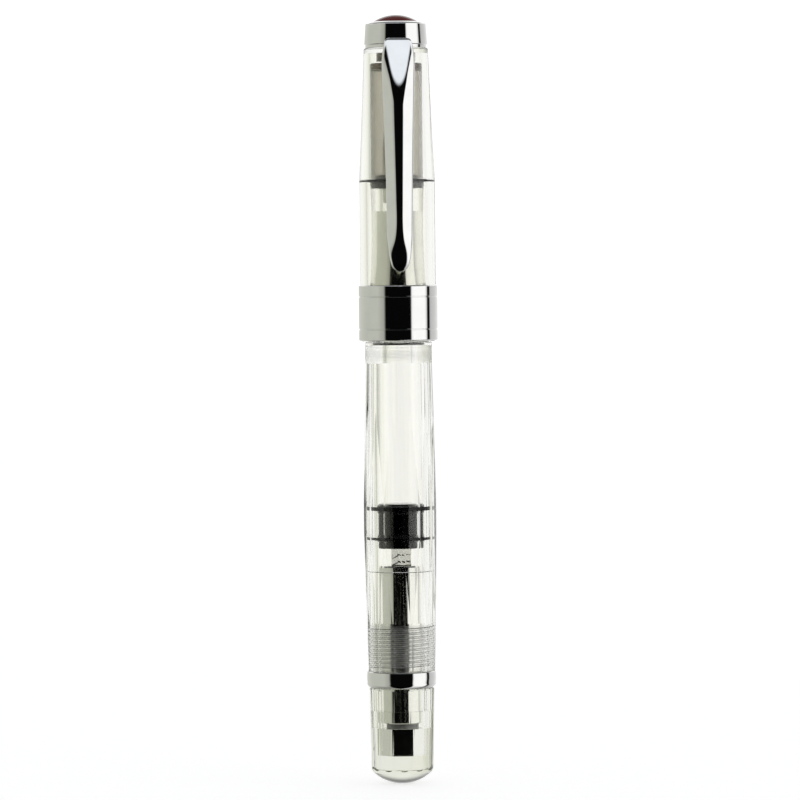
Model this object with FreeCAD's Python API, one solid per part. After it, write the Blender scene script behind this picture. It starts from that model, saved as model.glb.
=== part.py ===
"""A clear piston-filling fountain pen, capped, as separate solids. Millimetres.

Frame: +Z runs along the pen's axis towards the crown of the cap, and the clip stands on the -Y side.
The origin is on the axis, near the middle of the cap band. "Up" and "down" below mean +Z and -Z.
"""

import FreeCAD, Part
import math
import os

Vector = FreeCAD.Vector
AXIS = Vector(0, 0, 1)

# ---- Driving dimensions -------------------------------------------------------------------
RUNNING_GAP = 0.05  # radial gap between pieces that turn or slide in each other
SEATED_GAP = 0.02  # gap between pieces that are screwed or pushed together

# Cap, from the crown down to the mouth
JEWEL_TOP = 55.0
CROWN_TOP = 53.45
CROWN_BASE = 49.45
CROWN_TOP_R = 5.6
CROWN_BASE_R = 5.85
JEWEL_R = 4.3
CAP_TOP = 48.85
CAP_TOP_R = 5.95
CAP_SHOULDER = 24.6  # where the taper of the cap begins
CAP_R = 7.0
CAP_MOUTH = -5.1
CAP_BORE_R = 5.6
BAND_TOP = 5.2
BAND_BASE = -5.0
BAND_R = 7.3
BAND_WALL = 0.55

# Liner inside the cap
LINER_TOP = 46.0
LINER_BASE = 24.7
LINER_R = 4.8
LINER_WALL = 0.7
SEAL_WIRE_R = 0.25

# Clip
CLIP_TOP = 50.4
CLIP_END = 7.65
FACET_TIP = 42.3  # where the flat face of the clip's head runs out on the ridge
FACET_SLOPE = 0.185
CLIP_HINGE_Y = -6.15
CLIP_HINGE_Z = 49.15
CLIP_BEAD_R = 0.27

# Grip section and nib
SECTION_TOP = 24.45
SECTION_LIP_R = 4.98
SECTION_WAIST_R = 4.75
SECTION_REAR_R = 5.25
CAP_THREAD_CREST_R = 5.6
CAP_THREAD_LEAD = 2.7
CAP_THREAD_STARTS = 3
TENON_END = -9.1
TENON_R = 4.55
TENON_CREST_R = 4.85
TENON_THREAD_START = TENON_END + 0.35
TENON_PITCH = 0.5
FINE_PITCH = 0.75
NIB_TIP_Z = 44.2
NIB_SHEET = 0.35
NIB_TAIL_R = 2.6
NIB_POCKET_R = 2.72
COLLAR_R = 3.42
COLLAR_TOP = 25.4

# Barrel
BARREL_TOP = -5.25
BARREL_NECK_END = -9.15
BARREL_END = -66.0
BARREL_NECK_R = 6.2
BARREL_BORE_R = 4.2
FACET_COUNT = 12
WAIST_Z = -37.5  # where the barrel is thickest
WAIST_APOTHEM = 6.75
NECK_APOTHEM = 6.0
TAIL_APOTHEM = 6.1
DIAMOND_APOTHEM = 6.455

# Piston and its drive
PISTON_TOP = -35.1
PISTON_BASE = -43.3
PISTON_CORE_R = 3.8
ROD_R = 2.4
ROD_ROOT_R = 1.9
ROD_FLATS = 3.6  # across the flats that stop the rod from turning
ROD_END = -76.0
DRIVE_LEAD = 5.75
DRIVE_STARTS = 2
DRIVE_THREAD_START = ROD_END + 0.7
GUIDE_TOP = -46.5
HOUSING_TOP = -48.3
HOUSING_R = 3.8
HOUSING_COLLAR_TOP = -57.1
HOUSING_END = -75.6
HOUSING_TAIL_R = 3.9
SPINDLE_R = 3.0
RING_TOP = -66.05
RING_BASE = -69.05
RING_R = 6.42

# Turning knob
KNOB_TOP = -69.15
KNOB_EDGE = -84.6
KNOB_END = -87.0
KNOB_TOP_APOTHEM = 5.95
KNOB_EDGE_APOTHEM = 5.6
INSERT_TOP = -76.6
INSERT_END = -81.6
INSERT_ACROSS_FLATS = 5.4


# ---- Shape helpers ------------------------------------------------------------------------
def at(radius, z):
    """A point of a turned outline, in the plane y = 0."""
    return Vector(radius, 0, z)


def outline_wire(steps):
    """Closed wire. A step is (r, z) for a straight run, or ((r, z), (r, z)) for an arc: through, to."""
    edges = []
    here = at(*steps[0])
    for step in list(steps[1:]) + [steps[0]]:
        if isinstance(step[0], tuple):
            through, end = at(*step[0]), at(*step[1])
            edges.append(Part.Arc(here, through, end).toShape())
        else:
            end = at(*step)
            if (end - here).Length < 1e-6:
                continue
            edges.append(Part.makeLine(here, end))
        here = end
    return Part.Wire(edges)


def turned(*steps):
    """Solid of revolution round the pen's axis."""
    return Part.Face(outline_wire(steps)).revolve(Vector(0, 0, 0), AXIS, 360)


def dome(rim_r, rim_z, pole_z):
    """Arc step of a spherical cap, from its rim to its pole on the axis."""
    rise = pole_z - rim_z
    sphere_r = (rim_r**2 + rise**2) / (2 * rise)
    centre_z = pole_z - sphere_r
    side_r = rim_r / 2
    side_z = centre_z + math.copysign(math.sqrt(sphere_r**2 - side_r**2), rise)
    return (side_r, side_z), (0, pole_z)


def cylinder(radius, low, high):
    return Part.makeCylinder(radius, high - low, at(0, low))


def tube(outer, inner, low, high):
    return cylinder(outer, low, high).cut(cylinder(inner, low - 1, high + 1))


def ring_of_wire(centre_r, z, wire_r):
    """O-ring."""
    return Part.makeTorus(centre_r, wire_r, at(0, z))


def block(x, y, z):
    """Box from three (low, high) pairs."""
    size = [high - low for low, high in (x, y, z)]
    return Part.makeBox(*size, Vector(x[0], y[0], z[0]))


def faceted(count, low, low_apothem, high, high_apothem, phase=0.0):
    """Solid with flat sides: regular polygons at two heights, joined by plane faces."""
    step = 2 * math.pi / count

    def corners(z, apothem):
        reach = apothem / math.cos(step / 2)
        angles = [phase + (i + 0.5) * step for i in range(count)]
        return [Vector(reach * math.sin(a), -reach * math.cos(a), z) for a in angles]

    bottom, top = corners(low, low_apothem), corners(high, high_apothem)
    loops = [bottom, top]
    for i in range(count):
        j = (i + 1) % count
        loops.append([bottom[i], bottom[j], top[j], top[i]])
    faces = [Part.Face(Part.makePolygon(loop + [loop[0]])) for loop in loops]
    return Part.Solid(Part.Shell(faces))


def ridges(root_r, crest_r, root_width, crest_width, lead, low, high, starts=1):
    """Helical thread ridges, sunk a little into the core that they are joined to or cut from."""
    sunk = root_r - 0.1
    slope = (root_width - crest_width) / (crest_r - root_r)
    sunk_width = root_width + slope * (root_r - sunk)
    profile = Part.makePolygon(
        [
            at(sunk, -sunk_width / 2),
            at(crest_r, -crest_width / 2),
            at(crest_r, crest_width / 2),
            at(sunk, sunk_width / 2),
            at(sunk, -sunk_width / 2),
        ]
    )
    helix = Part.Wire(Part.makeHelix(lead, high - low, root_r))
    first = helix.makePipeShell([profile], True, True)
    made = []
    for i in range(starts):
        ridge = first.copy()
        ridge.rotate(Vector(0, 0, 0), AXIS, i * 360.0 / starts)
        ridge.translate(at(0, low))
        made.append(ridge)
    return made


def cut_each(body, tools):
    """Cut the tools one at a time, which is steadier with helical tools than one joint cut."""
    for tool in tools:
        body = body.cut(tool)
    return body


def across_y(outline, low_y, high_y):
    """Prism along Y from an outline of (x, z) steps."""
    wire = outline_wire(outline)
    wire.translate(Vector(0, low_y, 0))
    return Part.Face(wire).extrude(Vector(0, high_y - low_y, 0))


def smooth(points):
    """Spline edge through (x, z) points in the plane y = 0."""
    curve = Part.BSplineCurve()
    curve.interpolate([at(*p) for p in points])
    return curve.toShape()


# ---- Cap ----------------------------------------------------------------------------------
LINER_POCKET_R = LINER_R + RUNNING_GAP
SCREW_HEAD_TOP = 47.85
SCREW_SHANK_R = 1.5
STUD_HOLE_R = SCREW_SHANK_R + 0.15
THREAD_RELIEF_R = CAP_THREAD_CREST_R + 0.08


def cap_shell():
    seat_r = BAND_R - BAND_WALL - SEATED_GAP
    taper_middle = (6.42, (CAP_SHOULDER + CAP_TOP) / 2)
    body = turned(
        (seat_r, CAP_MOUTH),
        (seat_r, BAND_TOP + SEATED_GAP),
        (CAP_R, BAND_TOP + SEATED_GAP),
        (CAP_R, CAP_SHOULDER),
        (taper_middle, (CAP_TOP_R, CAP_TOP - 0.25)),
        ((CAP_TOP_R - 0.08, CAP_TOP - 0.08), (CAP_TOP_R - 0.25, CAP_TOP)),
        (STUD_HOLE_R, CAP_TOP),
        (STUD_HOLE_R, SCREW_HEAD_TOP + SEATED_GAP),
        (LINER_POCKET_R, SCREW_HEAD_TOP + SEATED_GAP),
        (LINER_POCKET_R, LINER_BASE + 0.05),
        (CAP_BORE_R, LINER_BASE + 0.05),
        (CAP_BORE_R, BAND_TOP),
        (THREAD_RELIEF_R, BAND_TOP - 0.2),
        (THREAD_RELIEF_R, CAP_MOUTH),
    )
    grooves = ridges(
        THREAD_RELIEF_R, 5.95, 0.62, 0.3, CAP_THREAD_LEAD, CAP_MOUTH - 1, 4.0, CAP_THREAD_STARTS
    )
    return body.cut(grooves)


def cap_band():
    body = turned(
        (BAND_R - BAND_WALL, BAND_BASE),
        (BAND_R - 0.2, BAND_BASE),
        ((BAND_R - 0.06, BAND_BASE + 0.06), (BAND_R, BAND_BASE + 0.2)),
        (BAND_R, BAND_TOP - 0.2),
        ((BAND_R - 0.06, BAND_TOP - 0.06), (BAND_R - 0.2, BAND_TOP)),
        (BAND_R - BAND_WALL, BAND_TOP),
    )
    for groove_z in (3.1, -2.9):
        groove = turned(
            (BAND_R + 0.1, groove_z - 0.2),
            (BAND_R - 0.12, groove_z - 0.08),
            (BAND_R - 0.12, groove_z + 0.08),
            (BAND_R + 0.1, groove_z + 0.2),
        )
        body = body.cut(groove)
    return body


def crown():
    return turned(
        (SCREW_SHANK_R + SEATED_GAP, CROWN_BASE),
        (CROWN_BASE_R - 0.1, CROWN_BASE),
        (CROWN_BASE_R, CROWN_BASE + 0.1),
        (CROWN_TOP_R, CROWN_TOP - 0.3),
        ((CROWN_TOP_R - 0.09, CROWN_TOP - 0.09), (CROWN_TOP_R - 0.35, CROWN_TOP)),
        (JEWEL_R + 0.15, CROWN_TOP + 0.25),
        (JEWEL_R, CROWN_TOP + 0.15),
        (JEWEL_R, CROWN_TOP - 0.55),
        (0, CROWN_TOP - 0.55),
        (0, CROWN_TOP - 1.2),
        (SCREW_SHANK_R + SEATED_GAP, CROWN_TOP - 1.2),
    )


def crown_jewel():
    rim_r = JEWEL_R - SEATED_GAP
    base = CROWN_TOP - 0.55 + SEATED_GAP
    rim = CROWN_TOP + 0.2
    return turned(
        (0, base),
        (rim_r, base),
        (rim_r, rim),
        dome(rim_r, rim, JEWEL_TOP),
    )


def crown_screw():
    head_r = 3.6
    head_base = LINER_TOP + 0.3
    shank_top = CROWN_TOP - 1.3
    body = cylinder(head_r, head_base, SCREW_HEAD_TOP)
    body = body.fuse(cylinder(SCREW_SHANK_R - 0.2, SCREW_HEAD_TOP - 0.1, shank_top))
    body = body.fuse(
        ridges(SCREW_SHANK_R - 0.2, SCREW_SHANK_R, 0.4, 0.12, 0.5, SCREW_HEAD_TOP + 0.5, shank_top - 0.4)
    )
    driver_slot = block((-head_r - 1, head_r + 1), (-0.4, 0.4), (head_base - 1, head_base + 0.7))
    return body.cut(driver_slot)


def liner():
    """The inner cap: a cup that closes over the nib."""
    inner_r = LINER_R - LINER_WALL
    return turned(
        (inner_r, LINER_BASE),
        (LINER_R, LINER_BASE),
        (LINER_R, LINER_TOP - 0.3),
        ((LINER_R - 0.09, LINER_TOP - 0.09), (LINER_R - 0.3, LINER_TOP)),
        (0, LINER_TOP),
        (0, LINER_TOP - 1.0),
        (inner_r - 0.6, LINER_TOP - 1.0),
        ((inner_r - 0.17, LINER_TOP - 1.17), (inner_r, LINER_TOP - 1.6)),
    )


def liner_seal():
    outer_r = CAP_BORE_R - RUNNING_GAP
    return ring_of_wire(outer_r - SEAL_WIRE_R, LINER_BASE - 0.3, SEAL_WIRE_R)


# ---- Clip ---------------------------------------------------------------------------------
def clip_ring():
    """Washer under the crown, with a tongue that ends in a round bead for the clip to rock on."""
    ring = tube(CAP_TOP_R - 0.3, STUD_HOLE_R, CAP_TOP + SEATED_GAP, CROWN_BASE - SEATED_GAP)
    tongue = block((-1.3, 1.3), (CLIP_HINGE_Y, -4.5), (CAP_TOP + 0.12, CROWN_BASE - 0.12))
    bead = Part.makeCylinder(
        CLIP_BEAD_R, 2.6, Vector(-1.3, CLIP_HINGE_Y, CLIP_HINGE_Z), Vector(1, 0, 0)
    )
    return ring.fuse([tongue, bead])


CLIP_STATIONS = (  # height, half width, y of the back, y of the ridge
    (CLIP_TOP, 2.5, CLIP_HINGE_Y, -9.55),
    (49.4, 2.66, CLIP_HINGE_Y, -9.58),
    (48.35, 2.78, CLIP_HINGE_Y, -9.6),
    (46.8, 3.0, -6.9, -9.62),
    (45.0, 3.02, -7.35, -9.62),
    (42.0, 2.95, -7.6, -9.62),
    (33.0, 2.68, -7.6, -9.6),
    (24.0, 2.5, -7.6, -9.56),
    (16.0, 2.36, -7.55, -9.48),
    (13.0, 2.26, -7.4, -9.4),
    (11.4, 2.1, -7.2, -9.26),
    (10.2, 1.94, -7.12, -9.1),
    (9.1, 1.7, -7.12, -8.85),
    (8.3, 1.36, -7.18, -8.55),
    (7.8, 0.95, -7.3, -8.25),
    (CLIP_END, 0.4, -7.5, -7.95),
)
RIDGE_SHARE = 0.54  # share of the half width that the round ridge takes
RIDGE_FALL = 0.187  # fall of the round ridge, as a share of the half width
FLANK_FALL = 0.545  # fall from the ridge to the edge of the flank, likewise


def clip_slice(z, half_width, back, ridge):
    """Roof-shaped slice: round ridge, two flat flanks, two short side walls and a flat back."""
    scale = min(half_width, (back - ridge - 0.2) / FLANK_FALL)
    brow = ridge + RIDGE_FALL * scale
    eave = ridge + FLANK_FALL * scale
    shoulder = RIDGE_SHARE * half_width
    corners = [
        Vector(shoulder, brow, z),
        Vector(half_width, eave, z),
        Vector(half_width, back, z),
        Vector(-half_width, back, z),
        Vector(-half_width, eave, z),
        Vector(-shoulder, brow, z),
    ]
    arc = Part.Arc(corners[-1], Vector(0, ridge, z), corners[0]).toShape()
    return Part.Wire([arc] + [Part.makeLine(a, b) for a, b in zip(corners, corners[1:])])


def clip():
    """Sprung arm: the roof-shaped loft, a flat face sloping across its head, rounded top corners."""
    rod = Part.makeLoft([clip_slice(*station) for station in CLIP_STATIONS], True, False)
    _, width, _, ridge = CLIP_STATIONS[0]
    top = CLIP_TOP + 1
    facet = Part.Face(
        Part.makePolygon(
            [
                Vector(-4, ridge - 0.1, FACET_TIP - 0.3),
                Vector(-4, ridge + FACET_SLOPE * (top - FACET_TIP), top),
                Vector(-4, ridge - 2, top),
                Vector(-4, ridge - 0.1, FACET_TIP - 0.3),
            ]
        )
    ).extrude(Vector(8, 0, 0))
    socket = Part.makeCylinder(
        CLIP_BEAD_R + RUNNING_GAP, 2.8, Vector(-1.4, CLIP_HINGE_Y, CLIP_HINGE_Z), Vector(1, 0, 0)
    )
    corner = 0.8
    side = width + 0.12
    lean = 0.29 * corner  # how far the middle of a quarter-round corner lies from both its sides
    front = across_y(
        [
            (-4, 0),
            (4, 0),
            (4, CLIP_TOP - 2),
            (side, CLIP_TOP - corner),
            ((side - lean, CLIP_TOP - lean), (width - corner, CLIP_TOP)),
            (corner - width, CLIP_TOP),
            ((lean - side, CLIP_TOP - lean), (-side, CLIP_TOP - corner)),
            (-4, CLIP_TOP - 2),
        ],
        -12,
        -4,
    )
    return rod.common(front).cut([facet, socket])


# ---- Grip section and nib -----------------------------------------------------------------
COLLAR_BASE = 23.0
FEED_TAIL_END = 9.5
SEAL_GROOVE_R = TENON_R - 0.2
SEAL_GROOVE_TOP = BARREL_TOP - 0.05
SEAL_GROOVE_BASE = SEAL_GROOVE_TOP - 0.5
SLEEVE_BORE_R = 2.3
SLEEVE_OUTLINE = (  # outside of the sleeve moulded into the grip section, from its front end
    (3.3, 18.85),
    (3.5, 9.0),
    (4.05, 4.6),
    (4.05, -3.0),
    (3.5, -3.6),
    (3.5, -4.6),
)


def section():
    """Clear grip section: lip, waist, thread for the cap, and a tenon that screws into the barrel."""
    front_r, front_z = SLEEVE_OUTLINE[0]
    rear_r, rear_z = SLEEVE_OUTLINE[-1]
    lip_top = (SECTION_LIP_R - 0.36, SECTION_TOP)
    lip_widest = (SECTION_LIP_R, SECTION_TOP - 0.5)
    lip_foot = (SECTION_LIP_R - 0.06, SECTION_TOP - 1.05)
    grip_foot = (5.1, 5.6)
    edges = [
        Part.makeLine(at(COLLAR_R + SEATED_GAP, SECTION_TOP), at(*lip_top)),
        Part.Arc(at(*lip_top), at(*lip_widest), at(*lip_foot)).toShape(),
        smooth([lip_foot, (4.82, 20.8), (SECTION_WAIST_R, 17.0), (4.84, 10.6), grip_foot]),
    ]
    rest = [
        grip_foot,
        (SECTION_REAR_R, 4.6),
        (SECTION_REAR_R, -4.55),
        (CAP_THREAD_CREST_R, -4.75),
        (CAP_THREAD_CREST_R, BARREL_TOP + SEATED_GAP),
        (TENON_CREST_R - 0.05, BARREL_TOP + SEATED_GAP),
        (SEAL_GROOVE_R, SEAL_GROOVE_TOP),
        (SEAL_GROOVE_R, SEAL_GROOVE_BASE),
        (TENON_R, SEAL_GROOVE_BASE - 0.2),
        (TENON_R, TENON_END),
        (SLEEVE_BORE_R, TENON_END),
        (SLEEVE_BORE_R, rear_z - SEATED_GAP),
        (rear_r + SEATED_GAP, rear_z - SEATED_GAP),
        *[(r + SEATED_GAP, z) for r, z in SLEEVE_OUTLINE[-2:0:-1]],
        (front_r + SEATED_GAP, front_z + SEATED_GAP),
        (NIB_POCKET_R, front_z + SEATED_GAP),
        (NIB_POCKET_R, COLLAR_BASE - SEATED_GAP),
        (COLLAR_R + SEATED_GAP, COLLAR_BASE - SEATED_GAP),
        (COLLAR_R + SEATED_GAP, SECTION_TOP),
    ]
    edges += [Part.makeLine(at(*a), at(*b)) for a, b in zip(rest, rest[1:])]
    body = Part.Face(Part.Wire(edges)).revolve(Vector(0, 0, 0), AXIS, 360)
    cap_thread = ridges(
        SECTION_REAR_R, CAP_THREAD_CREST_R, 0.6, 0.22, CAP_THREAD_LEAD, -3.9, 3.8, CAP_THREAD_STARTS
    )
    tenon_thread = ridges(
        TENON_R, TENON_CREST_R, 0.36, 0.1, TENON_PITCH, TENON_THREAD_START + TENON_PITCH, -7.0
    )
    return body.fuse(cap_thread + tenon_thread)


def grip_sleeve():
    """Polished metal lining of the grip section, which the ink passes through."""
    return turned(
        (SLEEVE_BORE_R, SLEEVE_OUTLINE[0][1]), *SLEEVE_OUTLINE, (SLEEVE_BORE_R, SLEEVE_OUTLINE[-1][1])
    )


def section_seal():
    wire_r = 0.22
    middle = (SEAL_GROOVE_TOP + SEAL_GROOVE_BASE) / 2
    return ring_of_wire(SEAL_GROOVE_R + SEATED_GAP + wire_r, middle, wire_r)


def nib_collar():
    flange_r = COLLAR_R + 0.58
    return turned(
        (NIB_POCKET_R, COLLAR_BASE),
        (COLLAR_R, COLLAR_BASE),
        (COLLAR_R, SECTION_TOP + SEATED_GAP),
        (flange_r, SECTION_TOP + SEATED_GAP),
        (flange_r, COLLAR_TOP - 0.3),
        (flange_r - 0.3, COLLAR_TOP),
        (NIB_POCKET_R, COLLAR_TOP),
    )


def nib_station(z, crest, radius, half_angle):
    """C-shaped slice of the nib: a bent sheet whose middle stands crest in front of the axis."""
    centre = Vector(0, radius - crest, z)

    def on_arc(r, degrees):
        a = math.radians(degrees)
        return centre + Vector(r * math.sin(a), -r * math.cos(a), 0)

    inner = radius - NIB_SHEET
    outer_arc = Part.Arc(on_arc(radius, -half_angle), on_arc(radius, 0), on_arc(radius, half_angle))
    inner_arc = Part.Arc(on_arc(inner, half_angle), on_arc(inner, 0), on_arc(inner, -half_angle))
    ends = [
        Part.makeLine(on_arc(radius, half_angle), on_arc(inner, half_angle)),
        Part.makeLine(on_arc(inner, -half_angle), on_arc(radius, -half_angle)),
    ]
    return Part.Wire([outer_arc.toShape(), ends[0], inner_arc.toShape(), ends[1]])


NIB_STATIONS = (  # height, distance of the crest from the axis, radius of the bend, half angle
    (20.4, NIB_TAIL_R, NIB_TAIL_R, 88),
    (23.5, NIB_TAIL_R, NIB_TAIL_R, 88),
    (26.2, NIB_TAIL_R, NIB_TAIL_R, 85),
    (28.8, NIB_TAIL_R, 2.72, 80),
    (32.0, 2.52, 2.8, 58),
    (36.0, 2.32, 2.8, 38),
    (40.0, 2.0, 2.7, 21),
    (42.6, 1.72, 2.7, 11.5),
    (NIB_TIP_Z, 1.5, 2.7, 6.5),
)
PELLET_Y = -1.37
PELLET_R = 0.42
SLIT_WIDTH = 0.1
BREATHER_Z = 33.6


def pellet_ball():
    return Part.makeSphere(PELLET_R, Vector(0, PELLET_Y, NIB_TIP_Z - 0.12))


def nib_slit():
    return block((-SLIT_WIDTH / 2, SLIT_WIDTH / 2), (-5, 2), (BREATHER_Z, NIB_TIP_Z + 2))


def nib():
    sheet = Part.makeLoft([nib_station(*s) for s in NIB_STATIONS], True, False)
    breather = Part.makeCylinder(0.6, 6, Vector(0, -6, BREATHER_Z), Vector(0, 1, 0))
    return sheet.cut([breather, nib_slit(), pellet_ball()])


def nib_pellet():
    """Hard writing tip, one half on each tine."""
    return pellet_ball().cut(nib_slit())


def feed():
    """Ink feed under the nib, with comb fins on its underside and a channel along its top."""
    body_r = NIB_TAIL_R - NIB_SHEET - 0.06
    body = cylinder(body_r, 20.4, 31.4)
    body = body.fuse(cylinder(1.5, FEED_TAIL_END, 20.6))

    def oval(z, y, rx, ry):
        flat = Part.Ellipse(Vector(0, y, z), rx, ry).toShape()
        return Part.Wire([flat])

    nose = Part.makeLoft(
        [
            oval(31.3, 0, body_r, body_r - 0.005),
            oval(34.5, -0.35, 1.7, 1.58),
            oval(37.5, -0.8, 1.05, 0.97),
            oval(39.6, -1.15, 0.5, 0.46),
        ],
        True,
        False,
    )
    under_half = block((-4, 4), (-0.35, 4), (20, 41))
    combs = []
    for i in range(10):
        low = 26.4 + 0.78 * i
        combs.append(tube(4, 1.15, low, low + 0.36).common(under_half))
    channel = block((-0.15, 0.15), (-4, -body_r + 0.5), (20, 33))
    return body.fuse(nose).cut(combs + [channel])


# ---- Barrel -------------------------------------------------------------------------------
SOCKET_THREAD_R = TENON_R + 0.1
REAR_THREAD_R = 4.4
REAR_GROOVE_R = 4.72
REAR_THREAD_START = BARREL_END + 0.5
CHAMBER_STEP = -47.6


def barrel():
    half_step = math.pi / FACET_COUNT
    neck_slope = (WAIST_APOTHEM - NECK_APOTHEM) / (BARREL_NECK_END - WAIST_Z)
    tail_slope = (WAIST_APOTHEM - TAIL_APOTHEM) / (WAIST_Z - BARREL_END)
    length = BARREL_NECK_END - BARREL_END
    neck_facets = faceted(
        FACET_COUNT, BARREL_END, NECK_APOTHEM + neck_slope * length, BARREL_NECK_END, NECK_APOTHEM
    )
    tail_facets = faceted(
        FACET_COUNT, BARREL_END, TAIL_APOTHEM, BARREL_NECK_END, TAIL_APOTHEM + tail_slope * length
    )
    diamonds = faceted(
        FACET_COUNT, BARREL_END, DIAMOND_APOTHEM, BARREL_NECK_END, DIAMOND_APOTHEM, half_step
    )
    body = neck_facets.common(tail_facets).common(diamonds)
    neck = turned(
        (0, BARREL_NECK_END),
        (BARREL_NECK_R, BARREL_NECK_END),
        (BARREL_NECK_R, BARREL_TOP - 0.15),
        (BARREL_NECK_R - 0.15, BARREL_TOP),
        (0, BARREL_TOP),
    )
    bore = turned(
        (0, BARREL_TOP + 1),
        (TENON_CREST_R + 0.05, BARREL_TOP + 1),
        (TENON_CREST_R + 0.05, BARREL_TOP - 0.95),
        (SOCKET_THREAD_R, BARREL_TOP - 1.15),
        (SOCKET_THREAD_R, TENON_END - 0.1),
        (BARREL_BORE_R, TENON_END - 0.1),
        (BARREL_BORE_R, CHAMBER_STEP),
        (BARREL_BORE_R + 0.1, CHAMBER_STEP - 0.1),
        (BARREL_BORE_R + 0.1, HOUSING_COLLAR_TOP + 0.05),
        (REAR_THREAD_R, HOUSING_COLLAR_TOP + 0.05),
        (REAR_THREAD_R, BARREL_END - 1),
        (0, BARREL_END - 1),
    )
    socket_thread = ridges(
        SOCKET_THREAD_R, TENON_CREST_R + 0.06, 0.36, 0.16, TENON_PITCH, TENON_THREAD_START, -6.75
    )
    rear_thread = ridges(
        REAR_THREAD_R, REAR_GROOVE_R, 0.5, 0.24, FINE_PITCH, REAR_THREAD_START, HOUSING_COLLAR_TOP - 0.65
    )
    return cut_each(body.fuse(neck), [bore] + socket_thread + rear_thread)


# ---- Piston and its drive -----------------------------------------------------------------
SNAP_NECK_R = 1.5
SNAP_HEAD_R = 2.05
SNAP_TOP = PISTON_TOP - 3.0
SNAP_BASE = SNAP_TOP - 2.95


def piston():
    """Rubber plug with a lip at each end, snapped on the head of the rod."""
    lip_r = BARREL_BORE_R - 0.015
    cavity_top = SNAP_TOP + RUNNING_GAP
    return turned(
        (0, PISTON_TOP),
        (PISTON_CORE_R - 0.35, PISTON_TOP),
        (lip_r - 0.05, PISTON_TOP - 0.3),
        (lip_r, PISTON_TOP - 0.5),
        (lip_r, PISTON_TOP - 1.3),
        (lip_r - 0.1, PISTON_TOP - 1.5),
        (PISTON_CORE_R, PISTON_TOP - 1.9),
        (PISTON_CORE_R, PISTON_TOP - 5.6),
        (lip_r - 0.1, PISTON_TOP - 6.0),
        (lip_r, PISTON_TOP - 6.15),
        (lip_r, PISTON_TOP - 6.75),
        (lip_r - 0.1, PISTON_TOP - 6.9),
        (PISTON_CORE_R, PISTON_TOP - 7.1),
        (PISTON_CORE_R, PISTON_BASE + 0.1),
        (PISTON_CORE_R - 0.1, PISTON_BASE),
        (SNAP_NECK_R + RUNNING_GAP, PISTON_BASE),
        (SNAP_NECK_R + RUNNING_GAP, SNAP_BASE - RUNNING_GAP - 0.2),
        (SNAP_HEAD_R + RUNNING_GAP, SNAP_BASE - RUNNING_GAP),
        (SNAP_HEAD_R + RUNNING_GAP, cavity_top - 0.6),
        (SNAP_HEAD_R - 0.45, cavity_top),
        (0, cavity_top),
    )


ROD_SPAN = (ROD_END, PISTON_BASE - 0.02)


def piston_rod():
    """Threaded rod with two flats. It slides and doesn't turn."""
    core = cylinder(ROD_ROOT_R, *ROD_SPAN)
    thread_start = DRIVE_THREAD_START + DRIVE_LEAD / DRIVE_STARTS
    thread = ridges(
        ROD_ROOT_R, ROD_R, 1.5, 1.0, DRIVE_LEAD, thread_start, PISTON_BASE - 1.9, DRIVE_STARTS
    )
    flange = cylinder(ROD_R, PISTON_BASE - 0.95, ROD_SPAN[1])
    flats = block((-ROD_FLATS / 2, ROD_FLATS / 2), (-4, 4), ROD_SPAN)
    shaft = core.fuse(thread + [flange]).common(flats)
    head = turned(
        (0, PISTON_BASE - 0.5),
        (SNAP_NECK_R, PISTON_BASE - 0.5),
        (SNAP_NECK_R, SNAP_BASE - 0.2),
        (SNAP_HEAD_R, SNAP_BASE),
        (SNAP_HEAD_R, SNAP_TOP - 0.55),
        (SNAP_HEAD_R - 0.45, SNAP_TOP),
        (0, SNAP_TOP),
    )
    return shaft.fuse(head)


GUIDE_END = -49.3
BORE_R = SPINDLE_R + 0.1
FLANGE_TOP = -71.5
NUT_TOP = -73.4


def rod_guide():
    """Plated bush in the mouth of the housing, whose keyed hole stops the rod from turning."""
    body = turned(
        (0, GUIDE_TOP),
        (HOUSING_R - 0.3, GUIDE_TOP),
        (HOUSING_R, GUIDE_TOP - 0.3),
        (HOUSING_R, HOUSING_TOP + SEATED_GAP),
        (BORE_R - SEATED_GAP, HOUSING_TOP + SEATED_GAP),
        (BORE_R - SEATED_GAP, GUIDE_END),
        (0, GUIDE_END),
    )
    hole = cylinder(ROD_R + RUNNING_GAP, GUIDE_END - 1, GUIDE_TOP + 1)
    half_width = ROD_FLATS / 2 + RUNNING_GAP
    keyed = hole.common(
        block((-half_width, half_width), (-4, 4), (GUIDE_END - 1, GUIDE_TOP + 1))
    )
    return body.cut(keyed)


def drive_housing():
    """Plated tube that screws into the back of the barrel and holds the drive."""
    collar_r = 4.3
    body = turned(
        (BORE_R, HOUSING_TOP),
        (HOUSING_R, HOUSING_TOP),
        (HOUSING_R, HOUSING_COLLAR_TOP),
        (collar_r, HOUSING_COLLAR_TOP),
        (collar_r, BARREL_END + 0.2),
        (4.1, BARREL_END),
        (4.1, -68.4),
        (5.2, -68.4),
        (5.2, -69.0),
        (HOUSING_TAIL_R, -69.0),
        (HOUSING_TAIL_R, HOUSING_END + 0.15),
        (HOUSING_TAIL_R - 0.15, HOUSING_END),
        (BORE_R + 0.3, HOUSING_END),
        (BORE_R + 0.3, FLANGE_TOP),
        (BORE_R, FLANGE_TOP),
    )
    thread = ridges(
        collar_r, REAR_GROOVE_R - 0.08, 0.5, 0.12, FINE_PITCH, REAR_THREAD_START + FINE_PITCH,
        HOUSING_COLLAR_TOP - 1.4,
    )
    return body.fuse(thread)


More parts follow.
